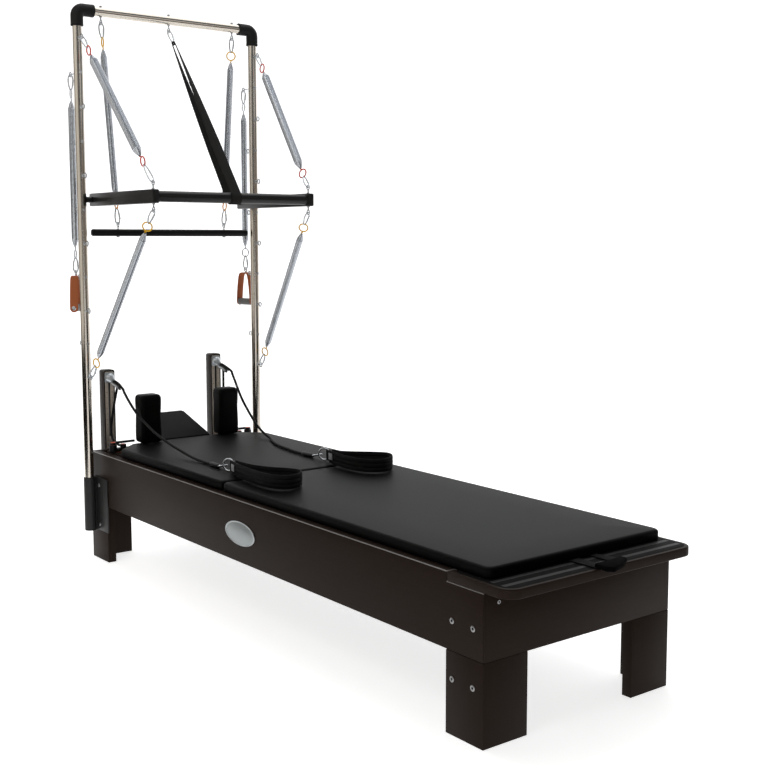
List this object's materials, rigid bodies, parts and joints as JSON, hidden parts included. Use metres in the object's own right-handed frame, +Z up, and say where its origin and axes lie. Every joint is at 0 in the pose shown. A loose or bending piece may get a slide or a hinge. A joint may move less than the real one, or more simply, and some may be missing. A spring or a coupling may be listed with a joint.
{
  "type": "pilates tower unit",
  "caption": "Low wooden reformer with padded carriage and mat insert under a chromed tube tower with springs, push-through bar, roll-down bar, leather handles and pulley ropes.",
  "frame": {"origin": "centre of the bounding box in plan, at floor level, with the unit standing on its four corner legs", "axes": "+X from the tower end to the foot end, +Y across to the far side, +Z up"},
  "size_m": [2.3404, 0.7722, 1.962],
  "materials": {
    "wood": "espresso stain, satin lacquer",
    "vinyl": "charcoal black upholstery vinyl, fine grain",
    "chrome": "bright chrome plate",
    "zinc": "galvanised steel",
    "black_steel": "black powder coat",
    "black_plastic": "black moulded plastic",
    "plate": "bare brushed plate",
    "webbing": "black webbing",
    "rope": "black braided cord",
    "leather": "tan saddle leather",
    "upper_spring": "bright steel wire, red end collars",
    "lower_spring": "bright steel wire, yellow end collars",
    "handle_spring": "bright steel wire"
  },
  "bodies": {
    "frame": {"side_rail_near": "wood", "leg_head_near": "wood", "leg_foot_near": "wood", "side_rail_far": "wood", "leg_head_far": "wood", "leg_foot_far": "wood", "head_end_rail": "wood", "foot_end_rail": "wood", "standing_platform": "wood", "oval_plate": "plate", "track_frame": "black_steel", "tower_sleeve_near": "black_steel", "upright_near": "chrome", "elbow_near": "black_plastic", "riser_post_near": "black_plastic", "upper_spring_near": "upper_spring", "lower_spring_near": "lower_spring", "rope_near": "rope", "rope_tail_near": "rope", "foot_loop_near": "webbing", "tower_sleeve_far": "black_steel", "upright_far": "chrome", "elbow_far": "black_plastic", "riser_post_far": "black_plastic", "upper_spring_far": "upper_spring", "lower_spring_far": "lower_spring", "rope_far": "rope", "rope_tail_far": "rope", "foot_loop_far": "webbing", "cross_tube": "chrome", "safety_strap": "webbing"},
    "mat": {"mat_pad": "vinyl", "mat_strap": "webbing"},
    "carriage": {"carriage_board": "wood", "carriage_pad": "vinyl"},
    "headrest": {"headrest": "vinyl"},
    "wheel_head_near": {"wheel_head_near": "black_plastic"},
    "wheel_foot_near": {"wheel_foot_near": "black_plastic"},
    "wheel_head_far": {"wheel_head_far": "black_plastic"},
    "wheel_foot_far": {"wheel_foot_far": "black_plastic"},
    "rest_near": {"shoulder_rest_near": "vinyl"},
    "lever_near": {"lock_lever_near": "black_plastic"},
    "rest_far": {"shoulder_rest_far": "vinyl"},
    "lever_far": {"lock_lever_far": "black_plastic"},
    "push_bar": {"push_arm_near": "black_steel", "push_arm_far": "black_steel", "push_crossbar": "black_steel"},
    "roll_bar": {"roll_down_bar": "black_plastic", "roll_spring_near": "lower_spring", "roll_spring_far": "lower_spring"},
    "handle_near": {"loop_handle_near": "leather", "handle_spring_near": "handle_spring"},
    "handle_far": {"loop_handle_far": "leather", "handle_spring_far": "handle_spring"},
    "block_near": {"pulley_block_near": "zinc"},
    "pulley_near": {"pulley_wheel_near": "black_plastic"},
    "knob_near": {"clamp_knob_near": "black_plastic"},
    "block_far": {"pulley_block_far": "zinc"},
    "pulley_far": {"pulley_wheel_far": "black_plastic"},
    "knob_far": {"clamp_knob_far": "black_plastic"}
  },
  "joints": [
    {"name": "mat_slide", "type": "slide", "parent": "frame", "child": "mat", "axis": [1, 0, 0], "range_m": [0, 0.22]},
    {"name": "carriage_slide", "type": "slide", "parent": "frame", "child": "carriage", "axis": [1, 0, 0], "range_m": [0, 0.22]},
    {"name": "wheel_head_near_spin", "type": "hinge", "parent": "carriage", "child": "wheel_head_near", "pos_m": [-0.88292, -0.2775, 0.3323], "axis": [0, 1, 0], "range_deg": [-10, 600]},
    {"name": "wheel_foot_near_spin", "type": "hinge", "parent": "carriage", "child": "wheel_foot_near", "pos_m": [-0.28292, -0.2775, 0.3323], "axis": [0, 1, 0], "range_deg": [-10, 600]},
    {"name": "wheel_head_far_spin", "type": "hinge", "parent": "carriage", "child": "wheel_head_far", "pos_m": [-0.88292, 0.2775, 0.3323], "axis": [0, 1, 0], "range_deg": [-10, 600]},
    {"name": "wheel_foot_far_spin", "type": "hinge", "parent": "carriage", "child": "wheel_foot_far", "pos_m": [-0.28292, 0.2775, 0.3323], "axis": [0, 1, 0], "range_deg": [-10, 600]},
    {"name": "headrest_tilt", "type": "hinge", "parent": "carriage", "child": "headrest", "pos_m": [-0.96492, 0, 0.396], "axis": [0, 1, 0], "range_deg": [-22, 10]},
    {"name": "rest_near_lift", "type": "slide", "parent": "carriage", "child": "rest_near", "axis": [0, 0, 1], "range_m": [0, 0.12]},
    {"name": "lever_near_swing", "type": "hinge", "parent": "carriage", "child": "lever_near", "pos_m": [-0.97292, -0.279, 0.423], "axis": [0, 0, 1], "range_deg": [0, 20]},
    {"name": "rest_far_lift", "type": "slide", "parent": "carriage", "child": "rest_far", "axis": [0, 0, 1], "range_m": [0, 0.12]},
    {"name": "lever_far_swing", "type": "hinge", "parent": "carriage", "child": "lever_far", "pos_m": [-0.97292, 0.279, 0.423], "axis": [0, 0, -1], "range_deg": [0, 20]},
    {"name": "push_hinge", "type": "hinge", "parent": "frame", "child": "push_bar", "pos_m": [-1.02292, 0, 1.29], "axis": [0, -1, 0], "range_deg": [0, 60], "deforming": ["upper_spring_near", "upper_spring_far", "lower_spring_near", "lower_spring_far", "safety_strap"]},
    {"name": "roll_swing", "type": "hinge", "parent": "frame", "child": "roll_bar", "pos_m": [-1.02292, 0, 1.904], "axis": [0, 1, 0], "range_deg": [-20, 20]},
    {"name": "handle_near_swing", "type": "hinge", "parent": "frame", "child": "handle_near", "pos_m": [-1.09092, -0.35, 1.726], "axis": [0, 1, 0], "range_deg": [0, 30]},
    {"name": "handle_far_swing", "type": "hinge", "parent": "frame", "child": "handle_far", "pos_m": [-1.09092, 0.35, 1.726], "axis": [0, 1, 0], "range_deg": [0, 30]},
    {"name": "block_near_slide", "type": "slide", "parent": "frame", "child": "block_near", "axis": [0, 0, 1], "range_m": [-0.19, 0], "deforming": ["rope_near", "rope_tail_near"]},
    {"name": "pulley_near_spin", "type": "hinge", "parent": "block_near", "child": "pulley_near", "pos_m": [-1.07092, -0.209, 0.618], "axis": [0, 0.788, 0.6157], "continuous": true},
    {"name": "knob_near_turn", "type": "hinge", "parent": "block_near", "child": "knob_near", "pos_m": [-1.16172, -0.223, 0.645], "axis": [1, 0, 0], "continuous": true},
    {"name": "block_far_slide", "type": "slide", "parent": "frame", "child": "block_far", "axis": [0, 0, 1], "range_m": [-0.19, 0], "deforming": ["rope_far", "rope_tail_far"]},
    {"name": "pulley_far_spin", "type": "hinge", "parent": "block_far", "child": "pulley_far", "pos_m": [-1.07092, 0.237, 0.652], "axis": [0, 0.788, 0.6157], "continuous": true},
    {"name": "knob_far_turn", "type": "hinge", "parent": "block_far", "child": "knob_far", "pos_m": [-1.16172, 0.223, 0.679], "axis": [1, 0, 0], "continuous": true}
  ],
  "couplings": [
    {"joint": "carriage_slide", "follows": "mat_slide", "ratio": 1},
    {"joint": "wheel_head_near_spin", "follows": "mat_slide", "rad_per_m": 45.455},
    {"joint": "wheel_foot_near_spin", "follows": "mat_slide", "rad_per_m": 45.455},
    {"joint": "wheel_head_far_spin", "follows": "mat_slide", "rad_per_m": 45.455},
    {"joint": "wheel_foot_far_spin", "follows": "mat_slide", "rad_per_m": 45.455}
  ]
}
